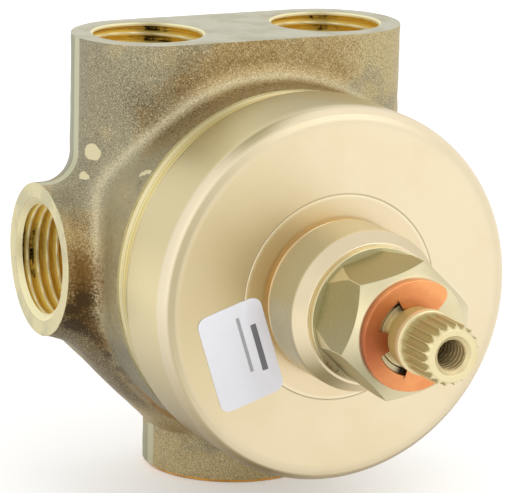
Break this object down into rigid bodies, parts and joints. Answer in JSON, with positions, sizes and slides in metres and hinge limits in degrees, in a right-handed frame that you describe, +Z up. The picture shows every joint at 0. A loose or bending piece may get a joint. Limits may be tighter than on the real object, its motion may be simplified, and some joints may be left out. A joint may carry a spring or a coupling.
{
  "type": "three-way diverter valve",
  "caption": "Concealed brass diverter valve: cast body with threaded pipe ports, round screwed bonnet, hex gland nut and splined stem that turns ceramic discs.",
  "frame": {"origin": "centre of the bottom outlet's mouth", "axes": "+Z up along the bottom outlet's axis, -Y along the spindle towards its splined end, +X towards the right-hand inlet"},
  "size_m": [0.072, 0.0952, 0.0763],
  "materials": {
    "cast_brass": "sand-cast skin, turned mouths",
    "turned_brass": "fine turned",
    "bronze": "stamped",
    "rubber": "matt",
    "ceramic": "lapped ceramic",
    "acetal": "moulded",
    "steel": "ground pins",
    "paper": "matt label paper"
  },
  "bodies": {
    "housing": {"valve_body": "cast_brass", "bonnet": "turned_brass", "bonnet_o_ring": "rubber", "gland_nut": "turned_brass", "gland_o_ring": "rubber", "thrust_washer": "acetal", "fixed_disc": "ceramic", "stop_pin": "steel", "dowel_left": "steel", "dowel_right": "steel", "seat_seal_top_left": "rubber", "seat_seal_top_right": "rubber", "seat_seal_bottom": "rubber", "label": "paper"},
    "spindle": {"stem": "turned_brass", "e_clip": "bronze", "stem_o_ring_back": "rubber", "stem_o_ring_front": "rubber", "carrier": "acetal", "moving_disc": "ceramic"}
  },
  "joints": [
    {"name": "spindle_turn", "type": "hinge", "parent": "housing", "child": "spindle", "pos_m": [0, 0, 0.0387], "axis": [0, -1, 0], "range_deg": [-120, 120]}
  ]
}
